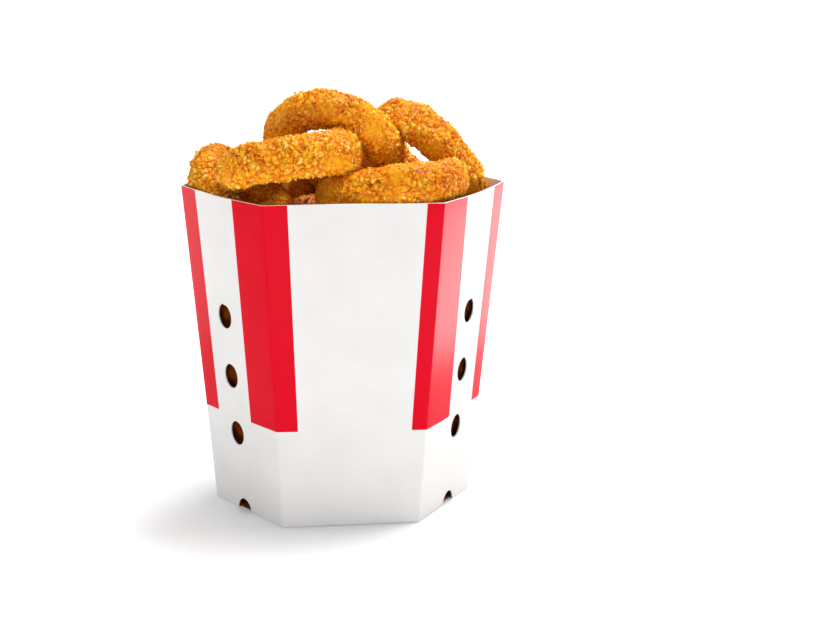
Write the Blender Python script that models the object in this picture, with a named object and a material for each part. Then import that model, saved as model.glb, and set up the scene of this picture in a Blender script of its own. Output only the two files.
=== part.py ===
"""A six-sided paper carton, heaped over its rim with breaded onion rings.

The carton stands on its floor at z = 0, its front panel faces -Y and its side corners point along X.
Every ring is an oval loop with a rounded, craggy section, dented where it leans on its neighbours.
"""

import math
import random

import bmesh
import bpy
from mathutils import Matrix, Vector, noise
from mathutils.bvhtree import BVHTree

MM = 0.001

# carton: its plan is given by half the front panel, the reach of a side corner and half the depth
CARTON_HEIGHT = 146 * MM
RIM_PLAN = (38 * MM, 71 * MM, 41 * MM)
BASE_PLAN = (30 * MM, 58.5 * MM, 37 * MM)
BOARD = 0.6 * MM

# oval vents up each of the four corner panels, the lowest one cut across the fold at the floor
VENT_HALF_WIDTH = 4.4 * MM
VENT_HALF_HEIGHT = 5.6 * MM
VENT_HEIGHTS = (0, 37.5 * MM, 64.5 * MM, 92 * MM)
VENT_FROM_SIDE_CORNER = 0.44
VENT_SIDES = 20
VENT_CUT_DEPTH = 3 * MM

# breaded rings
RING_BAND = 16.5 * MM
REACH_OF_PRESS = 13 * MM
RING_SQUARENESS = 2.6
RING_STEPS = 40
RING_SECTION_STEPS = 10
CRAG_SIZE = 7 * MM
CRAG_HEIGHT = 0.9 * MM
CONTACT_GAP = 0.7 * MM
PRESS_PASSES = 9
SMOOTH_PASSES = 4
WALL_GAP = 0.9 * MM
# a ring may only spread over the rim above this height
SPREAD_HEIGHT = CARTON_HEIGHT + 5 * MM

# each ring: centre, lean of its axis and the compass heading it leans to in degrees, then its long width,
# short width and thickness, all lengths in millimetres
RINGS = {
    "ring_top": ((-4.5, 2.5, 163.8), 43.5, 69, 61, 60, 14),
    "ring_front_left": ((-25.5, -19, 160), 18, 126, 60, 46, 13),
    "ring_front_right": ((19.5, -18, 146), 22, 111, 66, 46, 13),
    "ring_back_right": ((36, 8.5, 155.2), 55, 48, 60, 47, 13),
    "ring_back_left": ((-46, 5.5, 140.5), 44, -34, 50, 44, 13),
    "ring_back": ((2, 27.5, 131), 76, -86, 56, 48, 13),
    "ring_front_low": ((-4, -10, 127), 12, -80, 56, 46, 13),
}

# the hidden heap under them: a core with four rings fused on top
CORE_GAP = 2.5 * MM
CORE_FLOOR = 1.2 * MM
CORE_TOP = 100 * MM
CORE_COLUMNS = 48
CORE_SIDE_ROWS = 18
CORE_CAP_ROWS = 4
CORE_BULGE = 1.6 * MM
HEAP_RINGS = {
    "right": ((31, -2, 99), 5, 100, 55, 52, 13),
    "left": ((-30, 1, 100), 8, 30, 54, 56, 13),
    "rear_left": ((-33, 20, 110), 66, -80, 40, 44, 13),
    "right_corner": ((44, 2, 109), 24, 180, 46, 48, 13),
}

CRUST = (0.80, 0.36, 0.07)
DEEP_CRUST = (0.50, 0.19, 0.04)
WHITE_BOARD = (0.88, 0.86, 0.84)


def material(name, colour, roughness):
    made = bpy.data.materials.new(name)
    made.use_nodes = True
    shader = made.node_tree.nodes["Principled BSDF"]
    shader.inputs["Base Color"].default_value = (*colour, 1)
    shader.inputs["Roughness"].default_value = roughness
    shader.inputs["Metallic"].default_value = 0
    return made


def add_object(name, shape, finish):
    """Turn a bmesh into a named object with outward faces."""
    bmesh.ops.recalc_face_normals(shape, faces=shape.faces)
    mesh = bpy.data.meshes.new(name)
    shape.to_mesh(mesh)
    shape.free()
    mesh.materials.append(finish)
    made = bpy.data.objects.new(name, mesh)
    bpy.context.scene.collection.objects.link(made)
    return made


def plan_at(height):
    """The carton's outer plan at a height, as half front panel, reach and half depth."""
    part = height / CARTON_HEIGHT
    return tuple(low + (high - low) * part for low, high in zip(BASE_PLAN, RIM_PLAN))


def corners_at(height, inset=0.0):
    """The six corners of the carton's plan at a height, moved in by an even distance."""
    half, reach, deep = plan_at(height)
    run = reach - half
    slant = math.hypot(run, deep)
    reach -= inset * slant / deep
    deep_in = deep - inset
    half_in = reach - deep_in * run / deep
    return [
        (-half_in, -deep_in),
        (half_in, -deep_in),
        (reach, 0),
        (half_in, deep_in),
        (-half_in, deep_in),
        (-reach, 0),
    ]


def hexagon_loop(shape, height, inset=0.0):
    return [shape.verts.new((x, y, height)) for x, y in corners_at(height, inset)]


def bridge(shape, lower, upper):
    count = len(lower)
    for i in range(count):
        j = (i + 1) % count
        shape.faces.new((lower[i], lower[j], upper[j], upper[i]))


def carton_shell(finish):
    shape = bmesh.new()
    outer_base = hexagon_loop(shape, 0)
    outer_rim = hexagon_loop(shape, CARTON_HEIGHT)
    inner_rim = hexagon_loop(shape, CARTON_HEIGHT, BOARD)
    inner_floor = [shape.verts.new((x, y, BOARD)) for x, y in corners_at(BOARD, BOARD)]
    bridge(shape, outer_base, outer_rim)
    bridge(shape, outer_rim, inner_rim)
    bridge(shape, inner_rim, inner_floor)
    shape.faces.new(inner_floor)
    shape.faces.new(outer_base)
    return add_object("carton", shape, finish)


def vent_place(side, face, height):
    """Centre and outward normal of a vent; side and face are the signs of X and Y of its panel."""
    half, reach, deep = plan_at(height)
    across = reach + (half - reach) * VENT_FROM_SIDE_CORNER
    centre = Vector((side * across, face * deep * VENT_FROM_SIDE_CORNER, height))
    top_half, top_reach, top_deep = plan_at(height + MM)
    along = Vector((side * (half - reach), face * deep, 0))
    top_across = top_reach + (top_half - top_reach) * VENT_FROM_SIDE_CORNER
    rise = Vector((side * top_across, face * top_deep * VENT_FROM_SIDE_CORNER, height + MM)) - centre
    normal = along.cross(rise).normalized()
    if normal.dot(Vector((side, face, 0))) < 0:
        normal.negate()
    return centre, normal


def cutter(centre, direction, depth, finish):
    shape = bmesh.new()
    across = Vector((0, 0, 1)).cross(direction).normalized()
    turn = Matrix((across, direction.cross(across), direction)).transposed().to_4x4()
    oval = Matrix.Diagonal((VENT_HALF_WIDTH, VENT_HALF_HEIGHT, 1, 1))
    bmesh.ops.create_cone(
        shape,
        cap_ends=True,
        segments=VENT_SIDES,
        radius1=1,
        radius2=1,
        depth=depth,
        matrix=Matrix.Translation(centre) @ turn @ oval,
    )
    return add_object("vent_cutter", shape, finish)


def cut_vents(carton):
    """Punch every vent through the board, then drop the cutters."""
    cutters = bpy.data.collections.new("vent_cutters")
    bpy.context.scene.collection.children.link(cutters)
    for side in (-1, 1):
        for face in (-1, 1):
            for height in VENT_HEIGHTS:
                centre, normal = vent_place(side, face, height)
                made = cutter(centre, normal, 2 * VENT_CUT_DEPTH, carton.data.materials[0])
                bpy.context.scene.collection.objects.unlink(made)
                cutters.objects.link(made)
    boolean(carton, cutters, "DIFFERENCE")


def boolean(target, collection, operation):
    """Apply one exact Boolean with a collection, then remove the collection's objects."""
    step = target.modifiers.new(operation.lower(), "BOOLEAN")
    step.operation = operation
    step.operand_type = "COLLECTION"
    step.collection = collection
    step.solver = "EXACT"
    graph = bpy.context.evaluated_depsgraph_get()
    mesh = bpy.data.meshes.new_from_object(target.evaluated_get(graph))
    target.modifiers.clear()
    target.data = mesh
    for tool in list(collection.objects):
        bpy.data.objects.remove(tool)
    bpy.data.collections.remove(collection)


def keep_largest_shell(made):
    """Drop loose scraps and sealed hollows that a union leaves."""
    shape = bmesh.new()
    shape.from_mesh(made.data)
    waiting = set(shape.verts)
    shells = []
    while waiting:
        shell = {waiting.pop()}
        edge_of_shell = list(shell)
        while edge_of_shell:
            vert = edge_of_shell.pop()
            linked = {edge.other_vert(vert) for edge in vert.link_edges} & waiting
            waiting -= linked
            shell |= linked
            edge_of_shell.extend(linked)
        shells.append(shell)
    largest = max(shells, key=len)
    bmesh.ops.delete(shape, geom=[vert for vert in shape.verts if vert not in largest], context="VERTS")
    shape.to_mesh(made.data)
    shape.free()


def ring_frame(lean, heading):
    """Long axis, short axis and hole axis of a ring; the long axis stays square to Y."""
    lean, heading = math.radians(lean), math.radians(heading)
    hole = Vector((math.sin(lean) * math.cos(heading), math.sin(lean) * math.sin(heading), math.cos(lean)))
    long_axis = Vector((0, 1, 0)).cross(hole).normalized()
    return long_axis, hole.cross(long_axis), hole


def wave(angle, terms):
    return sum(size * math.cos(times * angle + start) for times, size, start in terms)


def crag(point, offset):
    """Relief of the breading at a point: broad lumps with smaller crags on them."""
    broad = noise.noise(point / CRAG_SIZE + offset)
    fine = noise.noise(point / (0.45 * CRAG_SIZE) + offset)
    return CRAG_HEIGHT * (broad + 0.7 * fine)


def ring_shape(placing, seed):
    """One breaded ring as a closed bmesh."""
    centre, lean, heading, long_width, short_width, thickness = placing
    draw = random.Random(seed)
    outline = [(2, 0.5 * MM, draw.uniform(0, 6.3)), (3, 0.8 * MM, draw.uniform(0, 6.3))]
    height = [(1, 0.09, draw.uniform(0, 6.3)), (3, 0.05, draw.uniform(0, 6.3))]
    width = [(2, 0.07, draw.uniform(0, 6.3)), (5, 0.04, draw.uniform(0, 6.3))]
    warp = [(2, 0.9 * MM, draw.uniform(0, 6.3)), (3, 0.4 * MM, draw.uniform(0, 6.3))]
    offset = Vector((seed * 3.7, seed * 1.9, seed * 5.3))
    long_axis, short_axis, hole = ring_frame(lean, heading)
    middle = Vector(centre) * MM
    long_radius = (long_width - thickness) * MM / 2
    short_radius = (short_width - thickness) * MM / 2
    shape = bmesh.new()
    loops = []
    for i in range(RING_STEPS):
        turn = math.tau * i / RING_STEPS
        slope = Vector((math.cos(turn) / long_radius, math.sin(turn) / short_radius)).normalized()
        out = long_axis * slope.x + short_axis * slope.y
        spine = long_axis * (long_radius * math.cos(turn)) + short_axis * (short_radius * math.sin(turn))
        spine += out * wave(turn, outline) + hole * wave(turn, warp)
        thick = thickness * MM / 2 * (1 + wave(turn, width))
        tall = RING_BAND / 2 * (1 + wave(turn, height))
        loop = []
        for j in range(RING_SECTION_STEPS):
            angle = math.tau * (j + 0.5 * (i % 2)) / RING_SECTION_STEPS
            c, s = math.cos(angle), math.sin(angle)
            reach = (abs(c) ** RING_SQUARENESS + abs(s) ** RING_SQUARENESS) ** (-1 / RING_SQUARENESS)
            side = out * (thick * c * reach) + hole * (tall * s * reach)
            point = middle + spine + side
            loop.append(shape.verts.new(point + side.normalized() * crag(point, offset)))
        loops.append(loop)
    for i in range(RING_STEPS):
        weave(shape, loops[i], loops[(i + 1) % RING_STEPS], i % 2)
    return shape


def weave(shape, first, second, shifted):
    """Join two loops of a ring with triangles; every other loop is turned by half a step."""
    count = len(first)
    for j in range(count):
        k = (j + 1) % count
        if shifted:
            shape.faces.new((first[j], second[j], second[k]))
            shape.faces.new((first[j], second[k], first[k]))
        else:
            shape.faces.new((first[j], second[j], first[k]))
            shape.faces.new((first[k], second[j], second[k]))


def surface_of(made):
    """A search tree over an object's surface."""
    shape = bmesh.new()
    shape.from_mesh(made.data)
    tree = BVHTree.FromBMesh(shape)
    shape.free()
    return tree


def press_out(shape, surfaces):
    """Dent a ring where it would sink into its neighbours, so that they only touch."""
    for turn in range(PRESS_PASSES):
        start = {vert: vert.co.copy() for vert in shape.verts}
        for tree in surfaces:
            for vert in shape.verts:
                vert.co += shift_out(tree, vert.co)
            for face in shape.faces:
                shift = shift_out(tree, face.calc_center_median())
                for vert in face.verts:
                    vert.co += shift
        for vert in shape.verts:
            vert.co = inside_walls(vert.co)
        moved = [vert for vert in shape.verts if (vert.co - start[vert]).length > 0.1 * MM]
        if moved and turn < SMOOTH_PASSES:
            every_axis = {"use_axis_x": True, "use_axis_y": True, "use_axis_z": True}
            bmesh.ops.smooth_vert(shape, verts=moved, factor=0.5, **every_axis)


def shift_out(tree, point):
    """How far to move a point so that it clears a neighbour's surface."""
    near, normal, _, _ = tree.find_nearest(point, REACH_OF_PRESS)
    if near is None:
        return Vector()
    depth = (point - near).dot(normal)
    return normal * max(0, CONTACT_GAP - depth)


def inside_walls(point):
    """Move a point below or near the rim inside the carton's walls."""
    if point.z > SPREAD_HEIGHT:
        return point
    corners = corners_at(min(point.z, CARTON_HEIGHT), BOARD + WALL_GAP)
    for i in range(len(corners)):
        first = Vector(corners[i])
        edge = Vector(corners[(i + 1) % len(corners)]) - first
        inward = Vector((-edge.y, edge.x)).normalized()
        short = inward.dot(Vector((point.x, point.y)) - first)
        if short < 0:
            point = point - Vector((inward.x, inward.y, 0)) * short
    return point


def heap_core():
    """The bulk of the heap: layers of rings pressed against the walls, seen through the vents."""
    shape = bmesh.new()
    rows = []
    cap = [row / CORE_CAP_ROWS for row in range(1, CORE_CAP_ROWS)]
    for part in cap:
        rows.append(core_row(shape, CORE_FLOOR, part))
    for row in range(CORE_SIDE_ROWS + 1):
        rows.append(core_row(shape, CORE_FLOOR + (CORE_TOP - CORE_FLOOR) * row / CORE_SIDE_ROWS, 1))
    for part in reversed(cap):
        rows.append(core_row(shape, CORE_TOP, part))
    for lower, upper in zip(rows, rows[1:]):
        bridge(shape, lower, upper)
    for row, height in ((rows[0], CORE_FLOOR), (rows[-1], CORE_TOP)):
        tip = shape.verts.new((0, 0, height))
        for i in range(CORE_COLUMNS):
            shape.faces.new((row[i], row[(i + 1) % CORE_COLUMNS], tip))
    bmesh.ops.triangulate(shape, faces=shape.faces)
    return shape


def core_row(shape, height, part):
    """One loop of the core; part is how far out it lies on the floor or the top."""
    layer = math.sin(math.pi * (height - CORE_FLOOR) / RING_BAND)
    inset = BOARD + CORE_GAP + CORE_BULGE * (1 - abs(layer))
    corners = [Vector(corner) for corner in corners_at(height, inset)]
    loop = []
    for i in range(CORE_COLUMNS):
        place = i * len(corners) / CORE_COLUMNS
        k = int(place)
        spot = corners[k].lerp(corners[(k + 1) % len(corners)], place - k) * part
        point = Vector((spot.x, spot.y, height))
        relief = crag(point, Vector((9, 4, 2)))
        if part < 1:
            point.z += relief if height > CORE_FLOOR else 0
        else:
            point.x *= 1 + relief / RIM_PLAN[1]
            point.y *= 1 + relief / RIM_PLAN[1]
        loop.append(shape.verts.new(point))
    return loop


def heap_below(surfaces, finish):
    """The hidden part of the heap as one solid."""
    heap = add_object("rings_below", heap_core(), finish)
    extra = bpy.data.collections.new("heap_rings")
    bpy.context.scene.collection.children.link(extra)
    for seed, placing in enumerate(HEAP_RINGS.values(), start=40):
        shape = ring_shape(placing, seed)
        press_out(shape, surfaces)
        made = add_object("heap_ring", shape, finish)
        bpy.context.scene.collection.objects.unlink(made)
        extra.objects.link(made)
    boolean(heap, extra, "UNION")
    keep_largest_shell(heap)
    return heap


def smooth(made, degrees):
    made.data.shade_smooth()
    made.data.set_sharp_from_angle(angle=math.radians(degrees))


def build():
    for old in list(bpy.data.objects):
        bpy.data.objects.remove(old)
    board = material("coated_board", WHITE_BOARD, 0.35)
    crust = material("golden_crumb_crust", CRUST, 0.75)
    deep_crust = material("shaded_crumb_crust", DEEP_CRUST, 0.8)

    carton = carton_shell(board)
    cut_vents(carton)

    placed = []
    for seed, (name, placing) in enumerate(RINGS.items(), start=1):
        shape = ring_shape(placing, seed)
        press_out(shape, placed)
        ring = add_object(name, shape, crust)
        smooth(ring, 60)
        placed.append(surface_of(ring))
    smooth(heap_below(placed, deep_crust), 60)


build()
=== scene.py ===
"""A striped paper carton heaped with breaded onion rings: the finish of every surface.

Lengths are in metres. The carton stands on z = 0, its front panel faces -Y and its side corners lie along X.
"""

import math

import bmesh
import bpy
import numpy as np
from mathutils import Matrix, Vector


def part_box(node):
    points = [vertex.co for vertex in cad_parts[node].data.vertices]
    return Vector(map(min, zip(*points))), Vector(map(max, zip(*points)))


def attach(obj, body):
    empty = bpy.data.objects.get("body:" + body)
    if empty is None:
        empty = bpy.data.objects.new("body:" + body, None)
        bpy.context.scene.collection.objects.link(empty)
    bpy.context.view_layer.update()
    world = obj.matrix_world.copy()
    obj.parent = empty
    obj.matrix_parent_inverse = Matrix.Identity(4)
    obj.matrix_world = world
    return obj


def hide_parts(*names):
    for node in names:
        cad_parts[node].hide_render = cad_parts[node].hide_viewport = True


MM = 0.001

# camera: where it looks, from how far, and how it is turned, in degrees
CAMERA_TARGET = (31.44 * MM, 0, 84.16 * MM)
CAMERA_DISTANCE = 704.8 * MM
CAMERA_YAW = -7.86
CAMERA_PITCH = 17.24
CAMERA_ROLL = 0.94
FOCAL_PIXELS = 1564.2
PICTURE_WIDTH = 828
SENSOR_WIDTH = 36
CAMERA_CLIP = (0.01, 50)

# light: the soft light of the surroundings, then each softbox's place, width, height and power in watts
SKY_LIGHT = 0.42
LAMP_AIM = (0, 0, 0.11)
SOFTBOXES = {
    "key_top": ((0.3, 0.2, 1.0), 0.5, 0.5, 13.0),
    "side_right": ((0.95, 0.05, 0.35), 0.5, 0.8, 2.0),
    "side_left": ((-0.8, 0.3, 0.5), 0.3, 0.5, 0.6),
    "front_left": ((-0.45, -1.0, 0.55), 0.8, 0.6, 1.5),
    "front_low": ((0.02, -0.30, 0.03), 0.3, 0.06, 0.12),
}
# bright cards that stand on the floor and show only as gloss on the carton's side panels
GLARE_CARDS = {
    "near_card": ((0.215, -0.01, 0.05), 0.12, 0.1, 0.72),
    "far_card": ((0.215, 0.12, 0.05), 0.14, 0.1, 0.26),
    "left_card": ((-0.24, 0.13, 0.05), 0.16, 0.1, 0.14),
}
FLOOR_RADIUS = 2.5
FLOOR_SIDES = 96
FLOOR_DROP = 0.2 * MM
# the floor glows to white between these distances from the carton
FLOOR_FADE = (0.0, 0.17)
FLOOR_GLOW = 0.7

# carton: its plan is half the front panel, the reach of a side corner and half the depth
BASE_PLAN = (30 * MM, 58.5 * MM, 37 * MM)
RIM_FRONT_HALF = 38 * MM
BOARD = 0.6 * MM
FOLD_RADIUS = 0.9 * MM
FOLD_STEPS = 4
EDGE_ROUND = 0.15 * MM
BASE_ROUND = 0.5 * MM
# how far the panels bow outward at the rim; the bow grows with this power of the height
CORNER_PANEL_BOW = 2.0 * MM
WIDE_PANEL_BOW = -0.5 * MM
BOW_GROWTH = 1.3
STRIPE_END = 45.5 * MM
# stripe edges across a panel, from its front or left fold, where the stripes end and at the rim
LEFT_STRIPES = ((0.345, 0.80), (0.32, 0.785))
RIGHT_STRIPES = ((0.40, 0.83), (0.315, 0.78))
WIDE_STRIPES = ((0.14, 0.90), (0.14, 0.905))
# the print runs a little askew: how far below STRIPE_END it ends, by the place along X
SKEW_PLACES = (-30 * MM, 30 * MM, 41 * MM, 58 * MM)
SKEW_DROPS = (0, 1.1 * MM, 1.3 * MM, 0)
TYPICAL_PANEL = 50 * MM
PANEL_STEP = 3.5 * MM
ROWS_BELOW_STRIPES = 12
ROWS_OF_STRIPES = 26
SHARP_FOLD = 32
SAME_PLACE = MM / 100
# the finishes of the carton's faces, in the order of its material slots
WHITE_FACE, RED_FACE, PLAIN_FACE, PAINTED_SHADE_FACE = range(4)

VENT_HALF_WIDTH = 4.4 * MM
VENT_HALF_HEIGHT = 5.6 * MM
VENT_HEIGHTS = (0, 37.5 * MM, 64.5 * MM, 92 * MM)
VENT_FROM_SIDE_CORNER = 0.44
VENT_SIDES = 48
VENT_CUT_DEPTH = 1.5 * MM

# breading: cell size and greatest height of the two grades of crumb, then the loose granules
COARSE_CRUMB = 2.3 * MM
COARSE_HEIGHT = 1.15 * MM
FINE_CRUMB = 1.15 * MM
FINE_HEIGHT = 0.5 * MM
CRUMB_TILT = 0.4
# the lowest crumb's share of the greatest height, and how far from its edge a crumb reaches its full height
LOWEST_CRUMB = 0.35
CRUMB_EDGE = 0.42
# the crumbs' share of their height varies in patches; where it is low, the even golden batter shows
PATCH_SIZE = 9 * MM
PATCH_MEAN = 0.85
PATCH_SWING = 0.8
PATCH_LIMITS = (0.15, 1.3)
BARE_BELOW = 0.8
BARE_FADE = 0.6
MOST_BARE = 0.85
BARE_SHADE = 0.66
LUMP_SIZE = 5.5 * MM
LUMP_HEIGHT = 0.55 * MM
WARP_SIZE = 1.7 * MM
WARP_REACH = 0.45 * MM
RING_SWELL = -0.15 * MM
GRANULE_RADII = (0.3 * MM, 0.9 * MM)
GRANULE_SINK = 0.1
DARKEST_GRANULE = 0.3
# painted shade: these tones darken the crust of the rings inside the carton, standing in for the shade down
# in the carton
LOW_PAINTED_SHADE_TONE = (0.62, 0.47, 0.30)
DEEP_PAINTED_SHADE_TONE = (0.24, 0.13, 0.12)
# no crumb hangs through the carton's floor
CRUMB_FLOOR = BOARD + 0.2 * MM

# whole numbers that scatter the cells' random values
HASH_PRIMES = (73856093, 19349663, 83492791)
SEED_PRIME = 2654435761
HASH_ROUNDS = ((13, 1274126177), (16, 2246822519))

# each breaded node: how often its faces are divided, and how many loose granules stick to it
RINGS = {
    "ring_top": (3, 6000),
    "ring_front_left": (3, 6000),
    "ring_front_right": (3, 6000),
    "ring_back_right": (3, 6000),
    "ring_back_left": (3, 5500),
    "ring_back": (2, 4000),
    "ring_front_low": (2, 4000),
    "rings_below": (1, 9000),
}

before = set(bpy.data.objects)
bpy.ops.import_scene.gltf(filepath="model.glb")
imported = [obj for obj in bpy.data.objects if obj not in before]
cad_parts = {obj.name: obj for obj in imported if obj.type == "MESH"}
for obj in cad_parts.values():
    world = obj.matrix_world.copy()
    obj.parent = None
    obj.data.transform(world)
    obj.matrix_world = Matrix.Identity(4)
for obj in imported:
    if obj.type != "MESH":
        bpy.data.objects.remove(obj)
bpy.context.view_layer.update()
CARTON_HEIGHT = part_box("carton")[1].z
RIM_PLAN = (RIM_FRONT_HALF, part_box("carton")[1].x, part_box("carton")[1].y)


# camera, light and ground


def camera_axes():
    yaw, pitch, roll = (math.radians(angle) for angle in (CAMERA_YAW, CAMERA_PITCH, CAMERA_ROLL))
    back = Vector((math.sin(yaw) * math.cos(pitch), -math.cos(yaw) * math.cos(pitch), math.sin(pitch)))
    right = Vector((math.cos(yaw), math.sin(yaw), 0))
    up = back.cross(right)
    turned_right = right * math.cos(roll) + up * math.sin(roll)
    turned_up = up * math.cos(roll) - right * math.sin(roll)
    return turned_right, turned_up, back


def add_camera():
    lens = bpy.data.cameras.new("camera")
    lens.sensor_width = SENSOR_WIDTH
    lens.lens = FOCAL_PIXELS / PICTURE_WIDTH * SENSOR_WIDTH
    lens.clip_start, lens.clip_end = CAMERA_CLIP
    camera = bpy.data.objects.new("camera", lens)
    right, up, back = camera_axes()
    turn = Matrix((right, up, back)).transposed().to_4x4()
    camera.matrix_world = Matrix.Translation(Vector(CAMERA_TARGET) + back * CAMERA_DISTANCE) @ turn
    bpy.context.scene.collection.objects.link(camera)
    bpy.context.scene.camera = camera


def add_softbox(name, place, aim, width, height, watts):
    light = bpy.data.lights.new(name, "AREA")
    light.shape = "RECTANGLE"
    light.size = width
    light.size_y = height
    light.energy = watts
    lamp = bpy.data.objects.new(name, light)
    lamp.location = place
    lamp.rotation_euler = (Vector(aim) - Vector(place)).to_track_quat("-Z", "Y").to_euler()
    lamp.visible_camera = False
    bpy.context.scene.collection.objects.link(lamp)
    return lamp


def add_glare_cards(carton):
    """Light the carton's gloss alone from low cards at its sides."""
    lit = bpy.data.collections.new("lit_by_the_cards")
    lit.objects.link(carton)
    for name, (place, width, height, watts) in GLARE_CARDS.items():
        card = add_softbox(name, place, (0, place[1], place[2]), width, height, watts)
        card.visible_diffuse = False
        card.light_linking.receiver_collection = lit


def light_the_scene():
    world = bpy.data.worlds.new("studio")
    world.use_nodes = True
    tree = world.node_tree
    sky = tree.nodes["Background"]
    sky.inputs["Color"].default_value = (1.0, 1.0, 1.0, 1)
    # the backdrop is seen as pure white, while the light that it gives is softer
    seen = tree.nodes.new("ShaderNodeLightPath")
    strength = tree.nodes.new("ShaderNodeMapRange")
    strength.inputs["To Min"].default_value = SKY_LIGHT
    strength.inputs["To Max"].default_value = 1.0
    tree.links.new(seen.outputs["Is Camera Ray"], strength.inputs["Value"])
    tree.links.new(strength.outputs["Result"], sky.inputs["Strength"])
    bpy.context.scene.world = world
    for name, (place, width, height, watts) in SOFTBOXES.items():
        add_softbox(name, place, LAMP_AIM, width, height, watts)
    bpy.context.scene.view_settings.view_transform = "Standard"


def add_floor():
    shape = bmesh.new()
    bmesh.ops.create_circle(shape, cap_ends=True, segments=FLOOR_SIDES, radius=FLOOR_RADIUS)
    mesh = bpy.data.meshes.new("floor")
    shape.to_mesh(mesh)
    shape.free()
    floor = bpy.data.objects.new("floor", mesh)
    floor.location.z = -FLOOR_DROP
    bpy.context.scene.collection.objects.link(floor)
    mesh.materials.append(floor_material())


# material helpers


def new_material(name, roughness, specular):
    made = bpy.data.materials.new(name)
    made.use_nodes = True
    tree = made.node_tree
    shader = tree.nodes["Principled BSDF"]
    shader.inputs["Roughness"].default_value = roughness
    shader.inputs["Specular IOR Level"].default_value = specular
    return made, tree, shader


def noise_node(tree, scale, detail, place):
    made = tree.nodes.new("ShaderNodeTexNoise")
    made.inputs["Scale"].default_value = scale
    made.inputs["Detail"].default_value = detail
    tree.links.new(place.outputs["Object"], made.inputs["Vector"])
    return made


def ramp_node(tree, source, stops):
    made = tree.nodes.new("ShaderNodeValToRGB")
    ramp = made.color_ramp
    while len(ramp.elements) < len(stops):
        ramp.elements.new(0.5)
    for element, (position, colour) in zip(ramp.elements, stops):
        element.position = position
        element.color = (*colour, 1)
    tree.links.new(source, made.inputs["Fac"])
    return made


def blend_node(tree, kind, amount, first, second):
    made = tree.nodes.new("ShaderNodeMix")
    made.data_type = "RGBA"
    made.blend_type = kind
    if isinstance(amount, float):
        made.inputs["Factor"].default_value = amount
    else:
        tree.links.new(amount, made.inputs["Factor"])
    for value, socket in ((first, made.inputs[6]), (second, made.inputs[7])):
        if isinstance(value, tuple):
            socket.default_value = (*value, 1)
        else:
            tree.links.new(value, socket)
    return made.outputs[2]


def bump_node(tree, shader, height, strength, distance):
    made = tree.nodes.new("ShaderNodeBump")
    made.inputs["Strength"].default_value = strength
    made.inputs["Distance"].default_value = distance
    tree.links.new(height, made.inputs["Height"])
    tree.links.new(made.outputs["Normal"], shader.inputs["Normal"])


def floor_material():
    made, tree, shader = new_material("pale_floor", 0.7, 0.1)
    place = tree.nodes.new("ShaderNodeTexCoord")
    grain = noise_node(tree, 900, 3, place)
    shades = ramp_node(tree, grain.outputs["Fac"], [(0.3, (0.77, 0.77, 0.77)), (0.7, (0.79, 0.79, 0.79))])
    tree.links.new(shades.outputs["Color"], shader.inputs["Base Color"])
    away = tree.nodes.new("ShaderNodeVectorMath")
    away.operation = "LENGTH"
    tree.links.new(place.outputs["Object"], away.inputs[0])
    fade = tree.nodes.new("ShaderNodeMapRange")
    fade.interpolation_type = "SMOOTHSTEP"
    fade.inputs["From Min"].default_value, fade.inputs["From Max"].default_value = FLOOR_FADE
    fade.inputs["To Max"].default_value = FLOOR_GLOW
    tree.links.new(away.outputs["Value"], fade.inputs["Value"])
    shader.inputs["Emission Color"].default_value = (1, 1, 1, 1)
    tree.links.new(fade.outputs["Result"], shader.inputs["Emission Strength"])
    return made


def board_material(name, low, high, roughness, specular, fibre_depth):
    """Paperboard or the print on it: a faint cloudiness and the fibres under the coating."""
    made, tree, shader = new_material(name, roughness, specular)
    place = tree.nodes.new("ShaderNodeTexCoord")
    cloud = noise_node(tree, 60, 4, place)
    shades = ramp_node(tree, cloud.outputs["Fac"], [(0.35, low), (0.65, high)])
    tree.links.new(shades.outputs["Color"], shader.inputs["Base Color"])
    fibres = noise_node(tree, 2600, 4, place)
    bump_node(tree, shader, fibres.outputs["Fac"], 0.25, fibre_depth)
    return made


def crust_material(name, painted_shade_tone):
    """Fried crumbs coloured by their shade value: deep orange with painted shade between the crumbs and pale
    with a painted highlight at their tips, with toasted patches; the tone is painted shade that darkens the
    whole crust.
    """
    made, tree, shader = new_material(name, 0.4, 0.14)
    place = tree.nodes.new("ShaderNodeTexCoord")
    shade = tree.nodes.new("ShaderNodeAttribute")
    shade.attribute_name = "shade"
    crumbs = ramp_node(
        tree,
        shade.outputs["Fac"],
        [
            (0.0, (0.33, 0.045, 0.001)),
            (0.25, (0.78, 0.19, 0.001)),
            (0.55, (0.96, 0.395, 0.003)),
            (0.8, (0.97, 0.56, 0.015)),
            (1.0, (0.98, 0.80, 0.27)),
        ],
    )
    toast = noise_node(tree, 55, 3, place)
    # painted shade: the tone darkens the whole crust of the rings down in the carton
    toasted_and_painted_shade_tone = tuple(value * part for value, part in zip(painted_shade_tone, (0.80, 0.64, 0.50)))
    patches = ramp_node(tree, toast.outputs["Fac"], [(0.42, painted_shade_tone), (0.72, toasted_and_painted_shade_tone)])
    toasted = blend_node(tree, "MULTIPLY", 1.0, crumbs.outputs["Color"], patches.outputs["Color"])
    speck = noise_node(tree, 1500, 2, place)
    specks = ramp_node(tree, speck.outputs["Fac"], [(0.35, (0.86, 0.82, 0.78)), (0.65, (1.0, 1.0, 1.0))])
    colour = blend_node(tree, "MULTIPLY", 1.0, toasted, specks.outputs["Color"])
    tree.links.new(colour, shader.inputs["Base Color"])
    grain = noise_node(tree, 2400, 3, place)
    bump_node(tree, shader, grain.outputs["Fac"], 0.6, 0.25 * MM)
    return made


# carton


def plan_at(height):
    part = height / CARTON_HEIGHT
    return tuple(low + (high - low) * part for low, high in zip(BASE_PLAN, RIM_PLAN))


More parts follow.
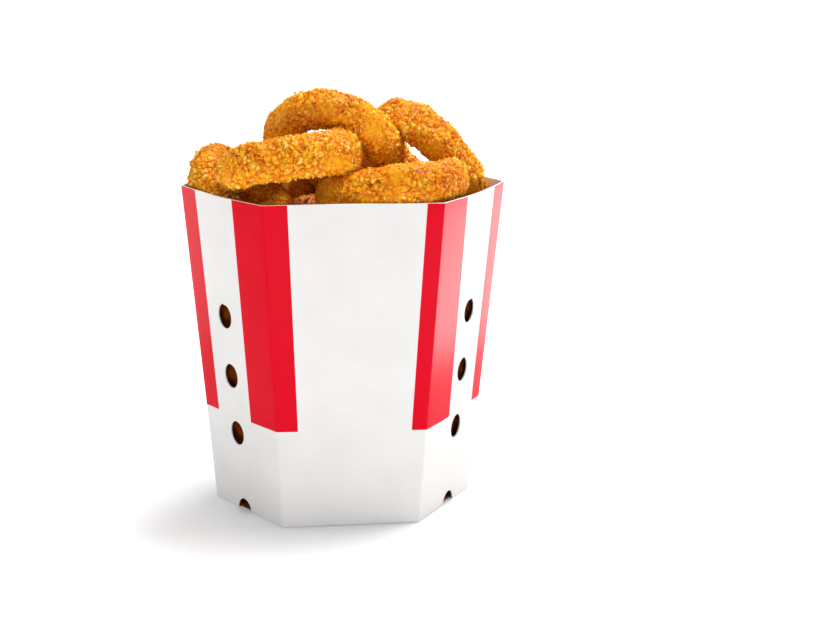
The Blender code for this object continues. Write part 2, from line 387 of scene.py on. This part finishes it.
def corners_at(height, inset):
    """The six corners of the plan at a height, moved in by an even distance."""
    half, reach, deep = plan_at(height)
    run = reach - half
    reach -= inset * math.hypot(run, deep) / deep
    deep_in = deep - inset
    half_in = reach - deep_in * run / deep
    places = [(-half_in, -deep_in), (half_in, -deep_in), (reach, 0)]
    places += [(half_in, deep_in), (-half_in, deep_in), (-reach, 0)]
    return [Vector(place) for place in places]


def panel_fields(k, height):
    """The stripe edges across panel k at a height, from its first corner to its second."""
    at_end, at_rim = (WIDE_STRIPES, RIGHT_STRIPES, RIGHT_STRIPES, WIDE_STRIPES, LEFT_STRIPES, LEFT_STRIPES)[k]
    part = (height - STRIPE_END) / (CARTON_HEIGHT - STRIPE_END)
    low, high = (end + (rim - end) * part for end, rim in zip(at_end, at_rim))
    return (0, low, high, 1) if k in (0, 1, 4) else (0, 1 - high, 1 - low, 1)


def plan_loop(height, inset):
    """The plan as a closed loop with rounded folds and bowed panels, and for each point its field."""
    corners = corners_at(height, inset)
    rise = (height / CARTON_HEIGHT) ** BOW_GROWTH
    points, fields = [], []
    for k in range(6):
        first, second = corners[k], corners[(k + 1) % 6]
        before = corners[k - 1]
        along = second - first
        width = along.length
        along = along / width
        back = (before - first).normalized()
        cut = FOLD_RADIUS
        start, end = first + back * cut, first + along * cut
        for step in range(FOLD_STEPS):
            u = step / FOLD_STEPS
            points.append(start * (1 - u) ** 2 + first * (2 * u * (1 - u)) + end * u**2)
            fields.append(0)
        outward = Vector((along.y, -along.x))
        bow = (WIDE_PANEL_BOW if k in (0, 3) else CORNER_PANEL_BOW) * rise
        edges = panel_fields(k, height)
        rim_edges = panel_fields(k, CARTON_HEIGHT)
        for field in range(3):
            low = max(edges[field], cut / width)
            high = min(edges[field + 1], 1 - cut / width)
            steps = max(2, round((rim_edges[field + 1] - rim_edges[field]) * TYPICAL_PANEL / PANEL_STEP))
            for step in range(steps):
                s = low + (high - low) * step / steps
                arch = math.sin(math.pi * (s - cut / width) / (1 - 2 * cut / width))
                points.append(first + along * (s * width) + outward * (bow * arch))
                fields.append(field)
    return points, fields


def add_loop(shape, height, inset):
    points, _ = plan_loop(height, inset)
    if abs(height - STRIPE_END) < SAME_PLACE:
        drops = [np.interp(point.x, SKEW_PLACES, SKEW_DROPS) for point in points]
    else:
        drops = [0] * len(points)
    return [shape.verts.new((point.x, point.y, height - drop)) for point, drop in zip(points, drops)]


def outer_rows():
    """Height and inset of each loop of the outer face, from the floor to the rim."""
    rows = [(BASE_ROUND * (1 - math.cos(turn)), BASE_ROUND * (1 - math.sin(turn))) for turn in (0, 0.5, 1.0)]
    for row in range(ROWS_BELOW_STRIPES):
        rows.append((BASE_ROUND + (STRIPE_END - BASE_ROUND) * row / ROWS_BELOW_STRIPES, 0))
    top = CARTON_HEIGHT - EDGE_ROUND
    for row in range(ROWS_OF_STRIPES + 1):
        rows.append((STRIPE_END + (top - STRIPE_END) * row / ROWS_OF_STRIPES, 0))
    return rows


def carton_mesh(name, finishes):
    """The folded board with its stripes as fields of faces."""
    shape = bmesh.new()
    outer = outer_rows()
    rim = [(CARTON_HEIGHT, EDGE_ROUND), (CARTON_HEIGHT, BOARD - EDGE_ROUND)]
    inner = [(height, BOARD) for height, inset in reversed(outer) if height > BOARD]
    rows = outer + rim + inner + [(BOARD, BOARD)]
    loops = [add_loop(shape, height, inset) for height, inset in rows]
    _, fields = plan_loop(CARTON_HEIGHT, 0)
    count = len(fields)
    red_rows = {row for row, (height, _) in enumerate(outer) if height >= STRIPE_END - SAME_PLACE}
    for row in range(len(rows) - 1):
        for i in range(count):
            j = (i + 1) % count
            face = shape.faces.new((loops[row][i], loops[row][j], loops[row + 1][j], loops[row + 1][i]))
            if row >= len(outer) - 1:
                face.material_index = PLAIN_FACE
            elif row in red_rows and is_red(fields, i):
                face.material_index = RED_FACE
    shape.faces.new(list(reversed(loops[0])))
    # painted shade: the carton's inner floor is dark brown, standing in for the shade inside the carton
    floor = shape.faces.new(loops[-1])
    floor.material_index = PAINTED_SHADE_FACE
    bmesh.ops.recalc_face_normals(shape, faces=shape.faces)
    mesh = bpy.data.meshes.new(name)
    shape.to_mesh(mesh)
    shape.free()
    for finish in finishes:
        mesh.materials.append(finish)
    made = bpy.data.objects.new(name, mesh)
    bpy.context.scene.collection.objects.link(made)
    return made


def is_red(fields, i):
    """Stripes run at both ends of every panel and over the folds; the middle field is white."""
    return fields[i] != 1


def vent_cutters():
    """One mesh with a short oval rod through the board at every vent; those at the floor leave cut faces in
    dark brown painted shade.
    """
    shape = bmesh.new()
    for side in (-1, 1):
        for face in (-1, 1):
            for height in VENT_HEIGHTS:
                half, reach, deep = plan_at(height)
                x = side * (reach + (half - reach) * VENT_FROM_SIDE_CORNER)
                y = face * deep * VENT_FROM_SIDE_CORNER
                run = reach - half
                normal = Vector((side * deep, face * run, 0)).normalized()
                across = Vector((0, 0, 1)).cross(normal)
                turn = Matrix((across, Vector((0, 0, 1)), normal)).transposed().to_4x4()
                oval = Matrix.Diagonal((VENT_HALF_WIDTH, VENT_HALF_HEIGHT, 1, 1))
                rod = bmesh.ops.create_cone(
                    shape,
                    cap_ends=True,
                    segments=VENT_SIDES,
                    radius1=1,
                    radius2=1,
                    depth=2 * VENT_CUT_DEPTH,
                    matrix=Matrix.Translation((x, y, height)) @ turn @ oval,
                )
                # painted shade: the cuts of the vents at the floor are dark brown
                if height == 0:
                    for side_of_rod in {near for vert in rod["verts"] for near in vert.link_faces}:
                        side_of_rod.material_index = PAINTED_SHADE_FACE
    mesh = bpy.data.meshes.new("vent_cutters")
    shape.to_mesh(mesh)
    shape.free()
    made = bpy.data.objects.new("vent_cutters", mesh)
    bpy.context.scene.collection.objects.link(made)
    return made


def apply_modifiers(made):
    graph = bpy.context.evaluated_depsgraph_get()
    mesh = bpy.data.meshes.new_from_object(made.evaluated_get(graph))
    made.modifiers.clear()
    made.data = mesh


def dress_carton():
    finishes = [
        board_material("coated_board", (0.71, 0.70, 0.69), (0.74, 0.73, 0.72), 0.32, 0.05, 0.02 * MM),
        board_material("red_print", (0.62, 0.0, 0.011), (0.66, 0.0, 0.015), 0.27, 0.05, 0.02 * MM),
        board_material("plain_board", (0.86, 0.85, 0.83), (0.90, 0.89, 0.87), 0.75, 0.2, 0.05 * MM),
        # painted shade: dark brown for the inner floor and for the cut faces of the vents at the floor
        board_material("painted_shade_board", (0.20, 0.07, 0.02), (0.32, 0.13, 0.04), 0.55, 0.2, 0.05 * MM),
    ]
    carton = carton_mesh("striped_carton", finishes)
    cutters = vent_cutters()
    cut = carton.modifiers.new("vents", "BOOLEAN")
    cut.operation = "DIFFERENCE"
    cut.solver = "EXACT"
    cut.object = cutters
    apply_modifiers(carton)
    bpy.data.objects.remove(cutters)
    carton.data.shade_smooth()
    carton.data.set_sharp_from_angle(angle=math.radians(SHARP_FOLD))
    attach(carton, "root")
    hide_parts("carton")
    return carton


# breading


def dense_surface(node, levels):
    """A copy of the node's surface, rounded and finely divided."""
    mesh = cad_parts[node].data.copy()
    shape = bmesh.new()
    shape.from_mesh(mesh)
    bmesh.ops.remove_doubles(shape, verts=shape.verts, dist=SAME_PLACE)
    shape.to_mesh(mesh)
    shape.free()
    for name in [item.name for item in mesh.attributes if not item.is_required and not item.is_internal]:
        mesh.attributes.remove(mesh.attributes[name])
    mesh.materials.clear()
    made = bpy.data.objects.new(node + "_breaded", mesh)
    bpy.context.scene.collection.objects.link(made)
    divide = made.modifiers.new("divide", "SUBSURF")
    divide.levels = levels
    divide.render_levels = levels
    apply_modifiers(made)
    return made


def points_of(mesh):
    points = np.empty(len(mesh.vertices) * 3)
    mesh.vertices.foreach_get("co", points)
    normals = np.empty(len(mesh.vertices) * 3)
    mesh.vertex_normals.foreach_get("vector", normals)
    return points.reshape(-1, 3), normals.reshape(-1, 3)


def hashed(cells, seed):
    """Even random numbers from 0 to 1, the same for the same whole-numbered cell."""
    x, y, z = (cells[..., axis] * prime for axis, prime in enumerate(HASH_PRIMES))
    mixed = x ^ y ^ z ^ seed * SEED_PRIME
    for shift, prime in HASH_ROUNDS:
        mixed = (mixed ^ (mixed >> shift)) * prime & 0xFFFFFFFF
    return ((mixed ^ (mixed >> 15)) & 0xFFFFFF) / 0xFFFFFF


def crumb_cells(points, size, seed):
    """Each point's way from the nearest crumb's middle, its gap to the next crumb, and the crumb's cell."""
    scaled = points / size
    base = np.floor(scaled).astype(np.int64)
    nearest = np.full(len(points), np.inf)
    second = np.full(len(points), np.inf)
    offset = np.zeros_like(points)
    cell = base.copy()
    for shift in np.ndindex(3, 3, 3):
        place = base + np.array(shift) - 1
        middle = place + np.stack([hashed(place, seed + axis) for axis in range(3)], axis=-1)
        away = scaled - middle
        distance = np.linalg.norm(away, axis=1)
        closer = distance < nearest
        second = np.where(closer, nearest, np.minimum(second, distance))
        nearest = np.where(closer, distance, nearest)
        offset[closer] = away[closer]
        cell[closer] = place[closer]
    return offset, second - nearest, cell


def smooth_noise(points, size, seed):
    """Three smooth random values, about -1 to 1, at each point."""
    scaled = points / size
    base = np.floor(scaled).astype(np.int64)
    part = scaled - base
    part = part * part * (3 - 2 * part)
    total = np.zeros_like(points)
    for shift in np.ndindex(2, 2, 2):
        place = base + np.array(shift)
        weight = np.prod(np.where(np.array(shift) == 1, part, 1 - part), axis=1)
        total += weight[:, None] * np.stack([hashed(place, seed + axis) for axis in range(3)], axis=-1)
    return 2 * total - 1


def crumb_layer(points, size, seed):
    """Height from 0 to 1 of one grade of crumbs, and how light each crumb is."""
    offset, gap, cell = crumb_cells(points, size, seed)
    tall = LOWEST_CRUMB + (1 - LOWEST_CRUMB) * hashed(cell, seed + 5)
    lean = np.stack([hashed(cell, seed + 7 + axis) for axis in range(3)], axis=-1) * 2 - 1
    mound = np.clip(gap / CRUMB_EDGE, 0, 1)
    mound = mound * (2 - mound)
    slope = CRUMB_TILT * np.einsum("ij,ij->i", offset, lean)
    return np.clip(tall * mound + slope * mound, 0, 1.3), hashed(cell, seed + 11)


def bread(made, seed):
    """Raise the crumbs over a ring and return each spot's shade value: random per crumb and even on the bare
    batter, with painted shade in the crevices and a painted highlight on the tips.
    """
    mesh = made.data
    points, normals = points_of(mesh)
    warped = points + WARP_REACH * smooth_noise(points, WARP_SIZE, seed + 31)
    coarse, coarse_light = crumb_layer(warped, COARSE_CRUMB, seed)
    fine, fine_light = crumb_layer(warped, FINE_CRUMB, seed + 17)
    patch = smooth_noise(points, PATCH_SIZE, seed + 61)[:, 0]
    strength = np.clip(PATCH_MEAN + PATCH_SWING * patch, *PATCH_LIMITS)
    bare = MOST_BARE * np.clip((BARE_BELOW - strength) / BARE_FADE, 0, 1)
    crumbs = strength * COARSE_HEIGHT * coarse + FINE_HEIGHT * fine
    lumps = LUMP_HEIGHT * smooth_noise(points, LUMP_SIZE, seed + 47)[:, 1]
    height = RING_SWELL + lumps + crumbs
    mesh.vertices.foreach_set("co", (points + normals * height[:, None]).ravel())
    # painted shade and highlight: the lower a spot lies among the crumbs the darker its colour, the higher
    # the paler
    low, high = np.percentile(crumbs, (4, 96))
    painted_light_by_height = np.clip((crumbs - low) / (high - low), 0, 1)
    shade = np.clip(0.75 * painted_light_by_height + 0.3 * coarse_light + 0.3 * fine_light - 0.2, 0, 1)
    return shade * (1 - bare) + (BARE_SHADE + 0.2 * (fine_light - 0.5)) * bare


def granule_shape():
    """The corners and faces of a rough bit of crumb, eight-sided, before it is scaled and turned."""
    corners = np.concatenate([np.eye(3), -np.eye(3)])
    faces = []
    for x in (0, 3):
        for y in (1, 4):
            for z in (2, 5):
                outward = (x < 3) ^ (y < 3) ^ (z < 3)
                faces.append((x, y, z) if outward else (x, z, y))
    return corners, np.array(faces)


def random_turns(draw, count):
    """Random rotation matrices, from evenly drawn unit quaternions."""
    q = draw.normal(size=(count, 4))
    w, x, y, z = (q / np.linalg.norm(q, axis=1)[:, None]).T
    rows = [
        [1 - 2 * (y * y + z * z), 2 * (x * y - z * w), 2 * (x * z + y * w)],
        [2 * (x * y + z * w), 1 - 2 * (x * x + z * z), 2 * (y * z - x * w)],
        [2 * (x * z - y * w), 2 * (y * z + x * w), 1 - 2 * (x * x + y * y)],
    ]
    return np.moveaxis(np.array(rows), 2, 0)


def scatter_granules(mesh, count, seed):
    """Points and faces of loose granules stuck on a breaded mesh, and how light each is."""
    draw = np.random.default_rng(seed)
    points, normals = points_of(mesh)
    picks = draw.choice(len(points), count, replace=False)
    corners, faces = granule_shape()
    low, high = GRANULE_RADII
    radii = low + (high - low) * draw.random(count) ** 2
    squash = np.array([0.9, 0.5, 0.4]) + np.array([0.8, 0.4, 0.4]) * draw.random((count, 1, 3))
    knobs = 0.7 + 0.6 * draw.random((count, len(corners), 1))
    bits = np.einsum("nij,nkj->nki", random_turns(draw, count), corners[None] * squash * knobs)
    middles = points[picks] - normals[picks] * (radii * GRANULE_SINK)[:, None]
    bits = middles[:, None] + bits * radii[:, None, None]
    all_faces = faces[None] + (np.arange(count) * len(corners))[:, None, None]
    light = np.repeat(DARKEST_GRANULE + (1 - DARKEST_GRANULE) * draw.random(count), len(corners))
    return bits.reshape(-1, 3), all_faces.reshape(-1, 3), light


def mesh_from(name, points, faces):
    mesh = bpy.data.meshes.new(name)
    mesh.from_pydata(points.tolist(), [], faces)
    return mesh


def dress_ring(node, levels, granules, seed, crust):
    """Replace a plain ring with its breaded surface and stuck granules, as one mesh."""
    made = dense_surface(node, levels)
    shade = bread(made, seed)
    points, _ = points_of(made.data)
    faces = [tuple(face.vertices) for face in made.data.polygons]
    bits, bit_faces, bit_shade = scatter_granules(made.data, granules, seed + 101)
    faces += [tuple(face) for face in (bit_faces + len(points)).tolist()]
    places = np.concatenate([points, bits])
    places[:, 2] = np.maximum(places[:, 2], CRUMB_FLOOR)
    mesh = mesh_from(node + "_breaded", places, faces)
    made.data = mesh
    mesh.materials.append(crust)
    mesh.attributes.new("shade", "FLOAT", "POINT")
    mesh.attributes["shade"].data.foreach_set("value", np.concatenate([shade, bit_shade]).astype(np.float32))
    smooth = np.arange(len(faces)) < len(faces) - len(bit_faces)
    mesh.polygons.foreach_set("use_smooth", smooth)
    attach(made, "root")
    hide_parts(node)


def build():
    add_camera()
    light_the_scene()
    add_floor()
    add_glare_cards(dress_carton())
    crust = crust_material("crumb_crust", (1.0, 1.0, 1.0))
    # painted shade: the rings in the carton get darkened copies of the crust
    painted_shade_crusts = {
        "ring_front_low": crust_material("low_crust_painted_shade", LOW_PAINTED_SHADE_TONE),
        "rings_below": crust_material("deep_crust_painted_shade", DEEP_PAINTED_SHADE_TONE),
    }
    for seed, (node, (levels, granules)) in enumerate(RINGS.items(), start=1):
        dress_ring(node, levels, granules, seed * 1000, painted_shade_crusts.get(node, crust))


build()
